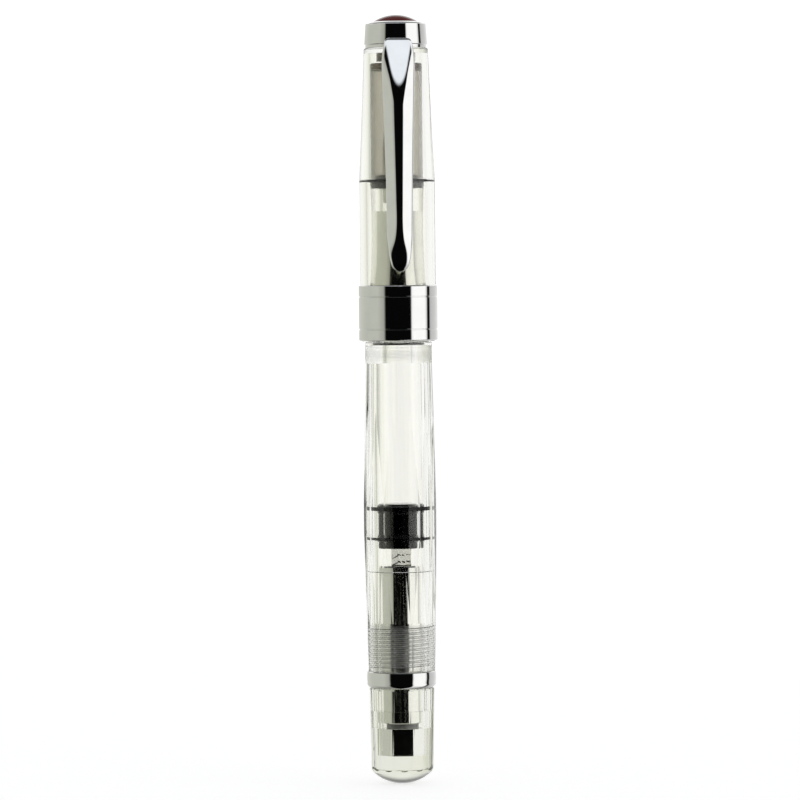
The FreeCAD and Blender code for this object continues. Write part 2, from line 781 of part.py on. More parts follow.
def tail_ring():
    """Plated trim ring clamped between the barrel and the flange of the housing."""
    return turned(
        (4.15, RING_TOP),
        (6.25, RING_TOP),
        (RING_R - 0.07, RING_TOP - 0.12),
        ((RING_R, RING_TOP - 1.2), (RING_R - 0.06, RING_TOP - 2.1)),
        ((6.28, RING_BASE + 0.3), (5.98, RING_BASE)),
        (5.25, RING_BASE),
        (5.25, -68.35),
        (4.15, -68.35),
    )


def retaining_nut():
    """Threaded ring that keeps the spindle in the housing."""
    body = tube(BORE_R + 0.3 - SEATED_GAP, SPINDLE_R + 0.06, HOUSING_END, NUT_TOP)
    tool_slots = block((-5, 5), (-0.4, 0.4), (HOUSING_END - 1, HOUSING_END + 0.5))
    return body.cut(tool_slots)


def spindle():
    """Nut of the drive: it turns with the knob, and its inner thread pushes the rod."""
    cavity_end = ROD_END - 0.1
    flange = cylinder(BORE_R + 0.3 - RUNNING_GAP, NUT_TOP + 0.05, FLANGE_TOP - 0.05)
    body = cylinder(SPINDLE_R, INSERT_TOP + SEATED_GAP, GUIDE_END - 0.1).fuse(flange)
    minor_r = ROD_ROOT_R + 0.1
    thread_end = DRIVE_THREAD_START + 5 * DRIVE_LEAD
    thread = ridges(
        minor_r, ROD_R + 0.1, 1.66, 1.2, DRIVE_LEAD, DRIVE_THREAD_START, thread_end, DRIVE_STARTS
    )
    body = body.cut(cylinder(minor_r, cavity_end, thread_end).fuse(thread))
    stud = cylinder(1.45, INSERT_END + 0.4, INSERT_TOP + 0.1)
    stud_thread = ridges(1.45, 1.7, 0.4, 0.12, 0.6, INSERT_END + 1.4, INSERT_TOP - 0.4)
    return body.fuse([stud] + stud_thread)


# ---- Turning knob -------------------------------------------------------------------------
def insert_blank(grown=0.0):
    """Hexagonal bar."""
    apothem = INSERT_ACROSS_FLATS / 2 + grown
    return faceted(6, INSERT_END - grown, apothem, INSERT_TOP, apothem)


def knob_insert():
    """Hexagonal threaded insert moulded into the knob."""
    hole = cylinder(1.52, INSERT_END + 0.3, INSERT_TOP + 1)
    thread = ridges(1.52, 1.76, 0.4, 0.2, 0.6, INSERT_END + 0.8, INSERT_TOP + 0.2)
    return insert_blank().cut([hole] + thread)


def knob():
    sides = faceted(FACET_COUNT, KNOB_END - 1, KNOB_EDGE_APOTHEM, KNOB_TOP + 1, KNOB_TOP_APOTHEM)
    envelope = turned(
        (0, KNOB_TOP),
        (KNOB_TOP_APOTHEM - 0.15, KNOB_TOP),
        (KNOB_TOP_APOTHEM + 0.14, KNOB_TOP - 0.35),
        (KNOB_EDGE_APOTHEM + 0.12, KNOB_EDGE + 0.5),
        ((KNOB_EDGE_APOTHEM, KNOB_EDGE + 0.1), (KNOB_EDGE_APOTHEM - 0.2, KNOB_EDGE - 0.2)),
        dome(KNOB_EDGE_APOTHEM - 0.2, KNOB_EDGE - 0.2, KNOB_END),
    )
    mouth_r = HOUSING_TAIL_R + 0.5
    bore = turned(
        (0, KNOB_TOP + 1),
        (mouth_r, KNOB_TOP + 1),
        (mouth_r, -73.4),
        (HOUSING_TAIL_R + 0.1, -73.4),
        (HOUSING_TAIL_R + 0.1, INSERT_TOP),
        (0, INSERT_TOP),
    )
    return cut_each(sides.common(envelope), [bore, insert_blank(SEATED_GAP)])


# ---- Output -------------------------------------------------------------------------------
PARTS = {
    "crown_jewel": crown_jewel,
    "crown": crown,
    "crown_screw": crown_screw,
    "clip_ring": clip_ring,
    "clip": clip,
    "cap_shell": cap_shell,
    "cap_band": cap_band,
    "inner_cap": liner,
    "inner_cap_seal": liner_seal,
    "nib": nib,
    "nib_pellet": nib_pellet,
    "feed": feed,
    "nib_collar": nib_collar,
    "grip_section": section,
    "grip_sleeve": grip_sleeve,
    "section_seal": section_seal,
    "barrel": barrel,
    "piston": piston,
    "piston_rod": piston_rod,
    "rod_guide": rod_guide,
    "drive_housing": drive_housing,
    "retaining_nut": retaining_nut,
    "spindle": spindle,
    "tail_ring": tail_ring,
    "knob_insert": knob_insert,
    "knob": knob,
}

os.makedirs("parts", exist_ok=True)
for node, make in PARTS.items():
    shape = make()
    solids = shape.Solids
    if not shape.isValid() or any(solid.Volume <= 0 for solid in solids):
        raise ValueError(f"{node} isn't a sound solid")
    Part.makeCompound(solids).exportStep(os.path.join("parts", node + ".step"))
    print(node, len(solids), "solid(s),", round(sum(s.Volume for s in solids), 2), "mm3")
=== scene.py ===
import math

import bpy
from mathutils import Matrix, Vector


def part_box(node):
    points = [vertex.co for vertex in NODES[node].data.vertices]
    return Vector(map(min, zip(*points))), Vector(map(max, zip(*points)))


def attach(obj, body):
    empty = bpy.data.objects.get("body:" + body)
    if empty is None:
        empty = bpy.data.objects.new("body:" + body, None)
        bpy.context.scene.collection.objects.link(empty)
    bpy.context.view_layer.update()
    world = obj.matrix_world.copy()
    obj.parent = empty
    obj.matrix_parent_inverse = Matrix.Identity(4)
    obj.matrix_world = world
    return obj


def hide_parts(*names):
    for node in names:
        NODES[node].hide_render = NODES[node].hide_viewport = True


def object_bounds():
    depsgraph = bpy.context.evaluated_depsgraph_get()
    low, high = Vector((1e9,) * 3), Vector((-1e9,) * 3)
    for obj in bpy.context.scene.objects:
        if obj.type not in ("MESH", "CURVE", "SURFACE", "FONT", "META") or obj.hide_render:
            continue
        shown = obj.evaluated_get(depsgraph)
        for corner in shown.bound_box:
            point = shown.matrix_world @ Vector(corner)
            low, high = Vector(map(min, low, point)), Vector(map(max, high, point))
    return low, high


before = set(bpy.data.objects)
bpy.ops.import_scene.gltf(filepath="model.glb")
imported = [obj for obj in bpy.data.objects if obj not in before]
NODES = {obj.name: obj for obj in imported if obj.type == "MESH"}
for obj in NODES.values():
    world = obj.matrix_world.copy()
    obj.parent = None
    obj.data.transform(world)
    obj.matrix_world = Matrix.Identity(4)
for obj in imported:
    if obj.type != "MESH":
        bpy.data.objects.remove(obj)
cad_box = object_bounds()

MM = 0.001

# ---- Places read from the frame, in metres --------------------------------------------------
PEN_LOW = cad_box[0][2]
PEN_LENGTH = cad_box[1][2] - PEN_LOW
BARREL_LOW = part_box("barrel")[0].z
BARREL_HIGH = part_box("barrel")[1].z
LINER_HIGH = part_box("inner_cap")[1].z

# Zones of a piece: lowest and highest height, then least and greatest distance from the axis.
PAST_END = 1 * MM  # a zone at the end of a piece reaches this far past it
THREAD_OUTER = 5 * MM
REAR_THREAD_LENGTH = 8.6 * MM
REAR_THREAD_INNER = 4.25 * MM
REAR_THREAD = (BARREL_LOW - PAST_END, BARREL_LOW + REAR_THREAD_LENGTH, REAR_THREAD_INNER, THREAD_OUTER)
FRONT_THREAD_START = 3.95 * MM
FRONT_THREAD_END = 0.6 * MM
FRONT_THREAD_INNER = 4.3 * MM
FRONT_THREAD = (
    BARREL_HIGH - FRONT_THREAD_START, BARREL_HIGH - FRONT_THREAD_END, FRONT_THREAD_INNER, THREAD_OUTER
)
# The inner cap's end wall, where brown shade is painted into the colour
END_WALL_DEPTH = 1.1 * MM
LINER_OUTER = 10 * MM
END_WALL = (LINER_HIGH - END_WALL_DEPTH, LINER_HIGH + PAST_END, 0.0, LINER_OUTER)


# ---- Node helpers ---------------------------------------------------------------------------
def grey(value):
    return (value, value, value, 1.0)


def dimmed(colour, share):
    """The colour at this share of its brightness."""
    return tuple(c * share for c in colour[:3]) + (1.0,)


def set_or_link(tree, socket, value):
    """Link a socket to another node's output, or set it to a plain value."""
    if isinstance(value, bpy.types.NodeSocket):
        tree.links.new(value, socket)
    else:
        socket.default_value = value


def shader(name):
    """A new material with an empty tree that holds one Principled shader."""
    material = bpy.data.materials.new(name)
    material.use_nodes = True
    tree = material.node_tree
    tree.nodes.clear()
    output = tree.nodes.new("ShaderNodeOutputMaterial")
    principled = tree.nodes.new("ShaderNodeBsdfPrincipled")
    tree.links.new(principled.outputs["BSDF"], output.inputs["Surface"])
    return material, tree, principled


def object_coordinates(tree, stretch=(1, 1, 1)):
    """Object coordinates, squeezed along some axes to draw a pattern out into streaks."""
    place = tree.nodes.new("ShaderNodeTexCoord")
    mapping = tree.nodes.new("ShaderNodeMapping")
    mapping.inputs["Scale"].default_value = stretch
    tree.links.new(place.outputs["Object"], mapping.inputs["Vector"])
    return mapping.outputs["Vector"]


def noise(tree, scale, detail=4.0, stretch=(1, 1, 1)):
    """Noise between 0 and 1. Scale is in waves per metre."""
    node = tree.nodes.new("ShaderNodeTexNoise")
    node.inputs["Scale"].default_value = scale
    node.inputs["Detail"].default_value = detail
    tree.links.new(object_coordinates(tree, stretch), node.inputs["Vector"])
    return node.outputs["Fac"]


def ranged(tree, value, low, high, start=0.3, end=0.7, smooth=False):
    """Low up to start, high from end on, and a straight or smooth change between."""
    node = tree.nodes.new("ShaderNodeMapRange")
    if smooth:
        node.interpolation_type = "SMOOTHSTEP"
    node.inputs["From Min"].default_value = start
    node.inputs["From Max"].default_value = end
    node.inputs["To Min"].default_value = low
    node.inputs["To Max"].default_value = high
    tree.links.new(value, node.inputs["Value"])
    return node.outputs["Result"]


def blended(tree, factor, first, second, blend="MIX"):
    """Colour that moves from first to second with the factor. Each is a colour or an output."""
    node = tree.nodes.new("ShaderNodeMix")
    node.data_type = "RGBA"
    node.blend_type = blend
    set_or_link(tree, node.inputs["A"], first)
    set_or_link(tree, node.inputs["B"], second)
    tree.links.new(factor, node.inputs["Factor"])
    return node.outputs["Result"]


def math_node(tree, operation, *values):
    """Result of a Math node, whose inputs are numbers or outputs of other nodes."""
    node = tree.nodes.new("ShaderNodeMath")
    node.operation = operation
    for socket, value in zip(node.inputs, values):
        set_or_link(tree, socket, value)
    return node.outputs[0]


def inside_zone(tree, low, high, inner, outer):
    """1 where a surface lies between two heights and between two distances from the pen's axis."""
    parts = tree.nodes.new("ShaderNodeSeparateXYZ")
    tree.links.new(object_coordinates(tree), parts.inputs[0])
    x, y, z = parts.outputs
    square = math_node(tree, "ADD", math_node(tree, "POWER", x, 2), math_node(tree, "POWER", y, 2))
    tests = (
        math_node(tree, "LESS_THAN", square, outer**2),
        math_node(tree, "GREATER_THAN", square, inner**2),
        math_node(tree, "GREATER_THAN", z, low),
        math_node(tree, "LESS_THAN", z, high),
    )
    inside = tests[0]
    for test in tests[1:]:
        inside = math_node(tree, "MULTIPLY", inside, test)
    return inside


def paint(tree, principled, pattern, first, second):
    """Base colour that moves from first to second with a pattern."""
    tree.links.new(blended(tree, pattern, first, second), principled.inputs["Base Color"])


def polish(tree, principled, pattern, low, high):
    """Roughness that moves from low to high with a pattern."""
    tree.links.new(ranged(tree, pattern, low, high), principled.inputs["Roughness"])


def relief(tree, principled, height, strength, distance):
    """Bump from a height pattern."""
    node = tree.nodes.new("ShaderNodeBump")
    node.inputs["Strength"].default_value = strength
    node.inputs["Distance"].default_value = distance
    tree.links.new(height, node.inputs["Height"])
    tree.links.new(node.outputs["Normal"], principled.inputs["Normal"])


def absorb(tree, tint, density):
    """Darken light with the length of its path inside the piece. Density is per metre."""
    inside = tree.nodes.new("ShaderNodeVolumeAbsorption")
    inside.inputs["Color"].default_value = tint
    inside.inputs["Density"].default_value = density
    tree.links.new(inside.outputs["Volume"], tree.nodes["Material Output"].inputs["Volume"])


def see_through(tree, principled, zone, share):
    """Let this share of the light go straight on where a surface lies in a zone."""
    straight = tree.nodes.new("ShaderNodeBsdfTransparent")
    mix = tree.nodes.new("ShaderNodeMixShader")
    tree.links.new(math_node(tree, "MULTIPLY", inside_zone(tree, *zone), share), mix.inputs["Fac"])
    tree.links.new(principled.outputs["BSDF"], mix.inputs[1])
    tree.links.new(straight.outputs["BSDF"], mix.inputs[2])
    tree.links.new(mix.outputs["Shader"], tree.nodes["Material Output"].inputs["Surface"])


# ---- Materials ------------------------------------------------------------------------------
ACRYLIC_IOR = 1.49
CLEAR_TINT = (0.985, 0.985, 0.955, 1.0)
CUT_THREAD_ROUGH = 0.33  # roughness that a cut thread adds
MATED_THREAD_PLAIN = 0.9  # share of light that goes straight through a mated thread
# Painted shade: dark brown painted on the inner cap's end wall
END_WALL_PAINTED_SHADE = (0.14, 0.11, 0.07, 1.0)


def refract(principled, share):
    """Let this share of the light into the plastic."""
    principled.inputs["Transmission Weight"].default_value = share
    principled.inputs["IOR"].default_value = ACRYLIC_IOR


def clear_plastic(name, tint=CLEAR_TINT, rough=(0.0, 0.006), cut_thread=None, mated_thread=None):
    """Polished clear acrylic with faint handling haze.

    A thread is given by its zone. A cut thread is duller, and a mated thread is nearly invisible.
    """
    material, tree, principled = shader(name)
    haze = noise(tree, scale=260, detail=5)
    paint(tree, principled, ranged(tree, haze, 0.0, 1.0), tint, dimmed(tint, 0.985))
    dull = ranged(tree, haze, *rough)
    if cut_thread:
        cut = math_node(tree, "MULTIPLY", inside_zone(tree, *cut_thread), CUT_THREAD_ROUGH)
        dull = math_node(tree, "ADD", dull, cut)
    if mated_thread:
        see_through(tree, principled, mated_thread, MATED_THREAD_PLAIN)
    tree.links.new(dull, principled.inputs["Roughness"])
    scratches = noise(tree, scale=500, detail=2, stretch=(1, 1, 0.2))
    relief(tree, principled, scratches, strength=0.004, distance=0.05 * MM)
    refract(principled, 1.0)
    return material


def frosted_plastic(name, tint, rough, milk, depth_tint, density, painted_shade_zone=None):
    """Translucent moulded plastic: rough, a little milky, and darker where light has far to go.

    The end wall is given by its zone. Its colour there is painted brown shade, which stands in for the
    light that runs along inside it.
    """
    material, tree, principled = shader(name)
    cloud = noise(tree, scale=300)
    colour = blended(tree, ranged(tree, cloud, 0.0, 1.0), tint, dimmed(tint, 0.97))
    if painted_shade_zone:
        # Painted shade: the end wall's colour is turned to dark brown
        colour = blended(tree, inside_zone(tree, *painted_shade_zone), colour, END_WALL_PAINTED_SHADE)
    tree.links.new(colour, principled.inputs["Base Color"])
    polish(tree, principled, cloud, rough * 0.8, rough * 1.2)
    relief(tree, principled, noise(tree, scale=4000, detail=2), strength=0.08, distance=0.05 * MM)
    refract(principled, 1.0 - milk)
    absorb(tree, depth_tint, density)
    return material


def chrome(name, tint=(0.93, 0.93, 0.92, 1.0), rough=(0.025, 0.06), stretch=(1, 1, 0.1)):
    """Plated mirror metal, with soft patches of wear and hairline polishing marks."""
    material, tree, principled = shader(name)
    wear = noise(tree, scale=420, detail=5)
    paint(tree, principled, ranged(tree, wear, 0.0, 1.0), tint, dimmed(tint, 0.95))
    polish(tree, principled, wear, *rough)
    hairlines = noise(tree, scale=2600, detail=3, stretch=stretch)
    relief(tree, principled, hairlines, strength=0.012, distance=0.03 * MM)
    principled.inputs["Metallic"].default_value = 1.0
    return material


def enamel(name, deep, bright):
    """Glossy enamel, a little cloudy in its depth, under a clear coat."""
    material, tree, principled = shader(name)
    cloud = noise(tree, scale=500)
    paint(tree, principled, ranged(tree, cloud, 0.0, 1.0), deep, bright)
    polish(tree, principled, cloud, 0.12, 0.2)
    relief(tree, principled, noise(tree, scale=900, detail=2), strength=0.02, distance=0.05 * MM)
    principled.inputs["Specular IOR Level"].default_value = 0.2
    principled.inputs["Coat Weight"].default_value = 0.2
    principled.inputs["Coat Roughness"].default_value = 0.04
    return material


def rubber(name, tone=0.0015, rough=(0.05, 0.1)):
    """Moulded black rubber with a faint grain."""
    material, tree, principled = shader(name)
    grain = noise(tree, scale=3200, detail=3)
    paint(tree, principled, grain, grey(tone * 0.7), grey(tone * 1.5))
    polish(tree, principled, noise(tree, scale=350), *rough)
    relief(tree, principled, grain, strength=0.01, distance=0.03 * MM)
    principled.inputs["Specular IOR Level"].default_value = 0.4
    return material


def dark_plastic(name, tone, rough):
    """Moulded opaque plastic."""
    material, tree, principled = shader(name)
    swirl = noise(tree, scale=600)
    paint(tree, principled, swirl, grey(tone * 0.8), grey(tone * 1.25))
    polish(tree, principled, swirl, rough * 0.8, rough * 1.3)
    relief(tree, principled, noise(tree, scale=5000, detail=2), strength=0.08, distance=0.03 * MM)
    return material


def knob_plastic():
    """Clear acrylic that is thick enough to show its tint."""
    material = clear_plastic("knob_acrylic")
    absorb(material.node_tree, tint=(0.85, 0.86, 0.8, 1), density=120)
    return material


def dress(node, material):
    """Give a CAD node this material."""
    slots = NODES[node].data.materials
    slots.clear()
    slots.append(material)


CHROME = chrome("chrome_plate")
MATERIALS = {
    "crown_jewel": enamel("red_enamel", deep=(0.16, 0.02, 0.016, 1), bright=(0.24, 0.03, 0.024, 1)),
    "crown": CHROME,
    "clip_ring": CHROME,
    "clip": CHROME,
    "cap_band": CHROME,
    "tail_ring": CHROME,
    "cap_shell": clear_plastic("cap_acrylic"),
    "grip_section": clear_plastic("grip_acrylic", mated_thread=FRONT_THREAD),
    "barrel": clear_plastic(
        "barrel_acrylic", rough=(0.0, 0.03), cut_thread=REAR_THREAD, mated_thread=FRONT_THREAD
    ),
    "knob": knob_plastic(),
    "crown_screw": frosted_plastic(
        "smoky_screw", tint=(0.5, 0.47, 0.42, 1), rough=0.1, milk=0.2, depth_tint=(0.4, 0.33, 0.25, 1),
        density=500,
    ),
    "inner_cap": frosted_plastic(
        "frosted_liner", tint=(1.0, 0.985, 0.94, 1), rough=0.2, milk=0.16, depth_tint=(0.7, 0.6, 0.44, 1),
        # Its end wall gets painted brown shade
        density=165, painted_shade_zone=END_WALL,
    ),
    "inner_cap_seal": rubber("seal_rubber"),
    "section_seal": rubber("joint_rubber"),
    "piston": rubber("piston_rubber"),
    "nib": chrome("nib_steel", tint=(0.78, 0.78, 0.76, 1), rough=(0.1, 0.2)),
    "nib_pellet": chrome("pellet_metal", tint=(0.8, 0.8, 0.78, 1), rough=(0.15, 0.25)),
    "feed": dark_plastic("feed_plastic", tone=0.02, rough=0.4),
    "nib_collar": dark_plastic("collar_plastic", tone=0.03, rough=0.25),
    "grip_sleeve": chrome("sleeve_metal", tint=(0.88, 0.875, 0.84, 1)),
    "piston_rod": clear_plastic("rod_acrylic", tint=(0.62, 0.62, 0.59, 1), rough=(0.02, 0.08)),
    "rod_guide": chrome("guide_plate", tint=(0.9, 0.9, 0.87, 1), rough=(0.03, 0.08)),
    "drive_housing": chrome("housing_plate", tint=(0.93, 0.93, 0.9, 1)),
    "retaining_nut": dark_plastic("nut_plastic", tone=0.04, rough=0.3),
    "spindle": dark_plastic("spindle_plastic", tone=0.4, rough=0.3),
    "knob_insert": chrome(
        "insert_steel", tint=(0.9, 0.9, 0.87, 1), rough=(0.04, 0.1), stretch=(0.02, 0.02, 1)
    ),
}


# ---- Studio ---------------------------------------------------------------------------------
WHITE = grey(1.0)
BLACK = grey(0.002)
CARD = (0.485, 0.5, 0.445, 1.0)
LOW_CARD = (0.36, 0.365, 0.325, 1.0)

# The surroundings' colour at each bearing, in degrees. A bearing is 0 towards the camera, positive
# to its right and 180 at the backdrop.
LEVEL_BAND = [
    (-180, WHITE),
    (-172, WHITE),
    (-160, (0.6, 0.61, 0.56, 1)),
    (-110, CARD),
    (-62, CARD),
    (-43, LOW_CARD),
    (-37, BLACK),
    (37, BLACK),
    (41, grey(0.9)),
    (47, WHITE),
    (84, WHITE),
    (91, grey(0.7)),
    (95, BLACK),
    (103, BLACK),
    (108, grey(0.5)),
    (135, grey(0.62)),
    (165, grey(0.84)),
    (173, WHITE),
    (180, WHITE),
]
WINGS = [
    (-180, WHITE),
    (-152, (0.92, 0.92, 0.87, 1)),
    (-134, (0.79, 0.795, 0.73, 1)),
    (-118, (0.44, 0.45, 0.4, 1)),
    (-90, grey(0.0)),
    (90, grey(0.0)),
    (96, grey(0.55)),
    (120, grey(0.9)),
    (180, WHITE),
]
RAISED_BAND = [
    (-180, WHITE),
    (-60, grey(0.72)),
    (-40, (0.80, 0.84, 0.9, 1)),
    (40, (0.86, 0.91, 0.96, 1)),
    (60, WHITE),
    (180, WHITE),
]

# Changes with a ray's elevation: the two elevations in degrees, and the values below and above.
RAISED_SHARE = (17, 20.5, 0.0, 1.0)
CEILING_BRIGHTNESS = (25, 42, 1.06, 0.16)
LOW_BRIGHTNESS = (-55, -12, 0.5, 1.0)
BACKDROP_BRIGHTNESS = 1.1


def ray_angles(tree):
    """Bearing of a ray as a share of a turn, and its elevation in radians, as the camera sees them."""
    place = tree.nodes.new("ShaderNodeTexCoord")
    turn = tree.nodes.new("ShaderNodeVectorTransform")
    turn.vector_type = "VECTOR"
    turn.convert_from = "WORLD"
    turn.convert_to = "CAMERA"
    tree.links.new(place.outputs["Generated"], turn.inputs["Vector"])
    parts = tree.nodes.new("ShaderNodeSeparateXYZ")
    tree.links.new(turn.outputs["Vector"], parts.inputs[0])
    right, up, ahead = parts.outputs
    bearing = math_node(tree, "ARCTAN2", right, math_node(tree, "MULTIPLY", ahead, -1.0))
    share = math_node(tree, "MULTIPLY_ADD", bearing, 1 / (2 * math.pi), 0.5)
    return share, math_node(tree, "ARCSINE", up)


def colour_band(tree, bearing, stops):
    """Colour at a bearing, from (degrees, colour) stops."""
    node = tree.nodes.new("ShaderNodeValToRGB")
    elements = node.color_ramp.elements
    while len(elements) > 1:
        elements.remove(elements[-1])
    for i, (degrees, colour) in enumerate(stops):
        position = (degrees + 180) / 360
        element = elements[0] if i == 0 else elements.new(position)
        element.position = position
        element.color = colour
    tree.links.new(bearing, node.inputs["Fac"])
    return node.outputs["Color"]


def with_elevation(tree, elevation, start, end, low, high):
    """Value that changes smoothly between two elevations in degrees."""
    return ranged(tree, elevation, low, high, math.radians(start), math.radians(end), smooth=True)


def background(tree, colour, strength):
    node = tree.nodes.new("ShaderNodeBackground")
    set_or_link(tree, node.inputs["Color"], colour)
    set_or_link(tree, node.inputs["Strength"], strength)
    return node.outputs[0]


def surroundings(tree, is_through):
    """Grey card left, dark gap behind the camera, softbox right, and a plainer band above them.

    Light that comes through a clear piece also sees the wings, which brighten both far sides.
    """
    bearing, elevation = ray_angles(tree)
    level = colour_band(tree, bearing, LEVEL_BAND)
    level = blended(tree, is_through, level, colour_band(tree, bearing, WINGS), blend="LIGHTEN")
    raised_share = with_elevation(tree, elevation, *RAISED_SHARE)
    colour = blended(tree, raised_share, level, colour_band(tree, bearing, RAISED_BAND))
    ceiling = with_elevation(tree, elevation, *CEILING_BRIGHTNESS)
    low = with_elevation(tree, elevation, *LOW_BRIGHTNESS)
    return background(tree, colour, math_node(tree, "MULTIPLY", ceiling, low))


def studio_world():
    """Surroundings that turn with the camera, which itself sees only a plain white backdrop."""
    world = bpy.data.worlds.new("studio")
    bpy.context.scene.world = world
    world.use_nodes = True
    tree = world.node_tree
    tree.nodes.clear()
    rays = tree.nodes.new("ShaderNodeLightPath")
    choose = tree.nodes.new("ShaderNodeMixShader")
    tree.links.new(rays.outputs["Is Camera Ray"], choose.inputs["Fac"])
    tree.links.new(surroundings(tree, rays.outputs["Is Transmission Ray"]), choose.inputs[1])
    tree.links.new(background(tree, WHITE, BACKDROP_BRIGHTNESS), choose.inputs[2])
    output = tree.nodes.new("ShaderNodeOutputWorld")
    tree.links.new(choose.outputs[0], output.inputs["Surface"])


def floor_paper():
    """Pale paper that glows a little, so that only the contact shadow tells it from the backdrop."""
    material, tree, principled = shader("floor_paper")
    paint(tree, principled, noise(tree, scale=900), grey(0.86), grey(0.9))
    principled.inputs["Roughness"].default_value = 0.9
    principled.inputs["Emission Color"].default_value = WHITE
    principled.inputs["Emission Strength"].default_value = 0.68
    return material


def studio_floor():
    """Floor under the pen, left out of what the metal and the clear plastic show."""
    half_size = 4.0
    corners = [(-1, -1), (1, -1), (1, 1), (-1, 1)]
    points = [(x * half_size, y * half_size, PEN_LOW) for x, y in corners]
    mesh = bpy.data.meshes.new("floor")
    mesh.from_pydata(points, [], [(0, 1, 2, 3)])
    mesh.materials.append(floor_paper())
    floor = bpy.data.objects.new("floor", mesh)
    bpy.context.scene.collection.objects.link(floor)
    floor.visible_glossy = False
    floor.visible_transmission = False


def studio_camera():
    """Long lens, a touch above the pen and a little to the left of its clip."""
    azimuth = math.radians(-3.3)
    elevation = math.radians(1.6)
    roll = math.radians(0.54)
    lens = 200.0
    sensor = 36.0
    picture_width = 1.0409 * PEN_LENGTH
    distance = picture_width * lens / sensor
    aim = Vector((0.18 * MM, 0, PEN_LOW + 0.5 * PEN_LENGTH))
    level = math.cos(elevation)
    out = Vector((math.sin(azimuth) * level, -math.cos(azimuth) * level, math.sin(elevation)))
    data = bpy.data.cameras.new("camera")
    data.lens = lens
    data.sensor_width = sensor
    data.clip_start = 0.01
    data.clip_end = 50.0
    camera = bpy.data.objects.new("camera", data)
    bpy.context.scene.collection.objects.link(camera)
    facing = out.to_track_quat("Z", "Y").to_matrix().to_4x4()
    place = Matrix.Translation(aim + distance * out)
    camera.matrix_world = place @ facing @ Matrix.Rotation(-roll, 4, "Z")
    bpy.context.scene.camera = camera


def light_paths():
    """Enough bounces for light to cross the nested clear pieces, and colours without a film look."""
    cycles = bpy.context.scene.cycles
    cycles.max_bounces = 28
    cycles.transmission_bounces = 26
    cycles.glossy_bounces = 12
    cycles.transparent_max_bounces = 24
    bpy.context.scene.view_settings.view_transform = "Standard"


# ---- Mesh helpers ---------------------------------------------------------------------------
def smooth_piece(name, points, faces, material, sharp_degrees):
    """Smooth-shaded object whose edges stay sharp where they turn by more than an angle."""
    mesh = bpy.data.meshes.new(name)
    mesh.from_pydata(points, [], faces)
    mesh.validate()
    mesh.update()
    for polygon in mesh.polygons:
        polygon.use_smooth = True
    mesh.set_sharp_from_angle(angle=math.radians(sharp_degrees))
    mesh.materials.append(material)
    piece = bpy.data.objects.new(name, mesh)
    bpy.context.scene.collection.objects.link(piece)
    return piece


def smooth_least(first, second, radius):
    """Lesser of two heights, with a round of about this radius where they meet."""
    share = max(0.0, min(1.0, 0.5 + 0.5 * (second - first) / radius))
    return second + (first - second) * share - radius * share * (1.0 - share)


def smooth_rise(share):
    """0 up to 0, 1 from 1 on, and level at both ends."""
    share = max(0.0, min(1.0, share))
    return share * share * (3 - 2 * share)


def between(points, x):
    """Smooth curve through (x, value) points given with falling x."""
    points = points[::-1]
    if x <= points[0][0]:
        return points[0][1]
    if x >= points[-1][0]:
        return points[-1][1]
    i = max(k for k in range(len(points) - 1) if points[k][0] <= x)
    (x0, v0), (x1, v1) = points[i], points[i + 1]
    before = points[max(i - 1, 0)]
    after = points[min(i + 2, len(points) - 1)]
    step = x1 - x0
    slope0 = step * (v1 - before[1]) / (x1 - before[0])
    slope1 = step * (after[1] - v0) / (after[0] - x0)
    t = (x - x0) / step
    return (
        v0 * (1 + 2 * t) * (1 - t) ** 2
        + slope0 * t * (1 - t) ** 2
        + v1 * t * t * (3 - 2 * t)
        + slope1 * t * t * (t - 1)
    )


# ---- Clip, in millimetres -------------------------------------------------------------------
# Curves: height above the clip's foot against a size.
CLIP_HALF_WIDTH = [
    (42.75, 2.42), (38.85, 3.0), (34, 2.92), (25.35, 2.68), (16, 2.48), (8.4, 2.36),
    (5.95, 2.3), (4.05, 2.1), (2.65, 1.94), (1.45, 1.66), (0.0, 1.4),
]
CLIP_BACK = [
    (42.75, 6.2), (40.7, 6.2), (39.15, 6.9), (37.35, 7.35), (34.35, 7.6), (16.35, 7.6),
    (8.35, 7.55), (5.35, 7.4), (3.75, 7.2), (2.5, 7.13), (0, 7.13),
]
CLIP_RIDGE_FALL = [
    (42.75, 0.0), (16.35, 0.05), (8.35, 0.12), (3.75, 0.3), (2.0, 0.5), (1.0, 0.8), (0, 1.35),
]
CLIP_RIDGE_RADIUS = [
    (42.75, 2.7), (31.8, 2.6), (22.35, 2.2), (13.35, 1.8), (8.65, 1.7), (5.95, 2.4), (3.15, 4.4), (0, 4.4),
]

CLIP_FLANK_ANGLE = math.radians(38)
CLIP_FACE_TIP = 32.2  # height at which the head's flat face runs out on the ridge
CLIP_FACE_SLOPE = 0.182
CLIP_FACE_PROUD = 0.03  # how far the face stands off the ridge at its tip
CLIP_CREASE_ROUND = 0.45  # round where face and flanks meet, twice that at the top
CLIP_SIDE_ROUND = (0.25, 0.15)  # round of the side edges, and what the head adds to it
CLIP_TOP_ROUND = 0.5
CLIP_EDGE_FALL = 0.3  # how far the front falls back over a rounded edge
CLIP_CORNER = 0.8  # radius of the top corners
CLIP_FOOT_ROUND = 1.5
CLIP_LEAST_THICKNESS = 0.2
CLIP_LEAST_HALF_WIDTH = 0.01
CLIP_BACK_SHARE = 0.97  # width of the back, as a share of the front's

CLIP_ROWS = 340
CLIP_COLUMNS = 57
CLIP_BACK_COLUMNS = 5
CLIP_ROW_CROWDING = 0.4  # 0 spaces the rows evenly, and 1 crowds them at both ends
CLIP_COLUMN_CROWDING = 0.45  # the same for the columns of the front


def roof(radius, across):
    """Fall of a round ridge that runs on into straight flanks."""
    edge = radius * math.sin(CLIP_FLANK_ANGLE)
    if across <= edge:
        return radius - math.sqrt(radius**2 - across**2)
    return radius * (1 - math.cos(CLIP_FLANK_ANGLE)) + (across - edge) * math.tan(CLIP_FLANK_ANGLE)


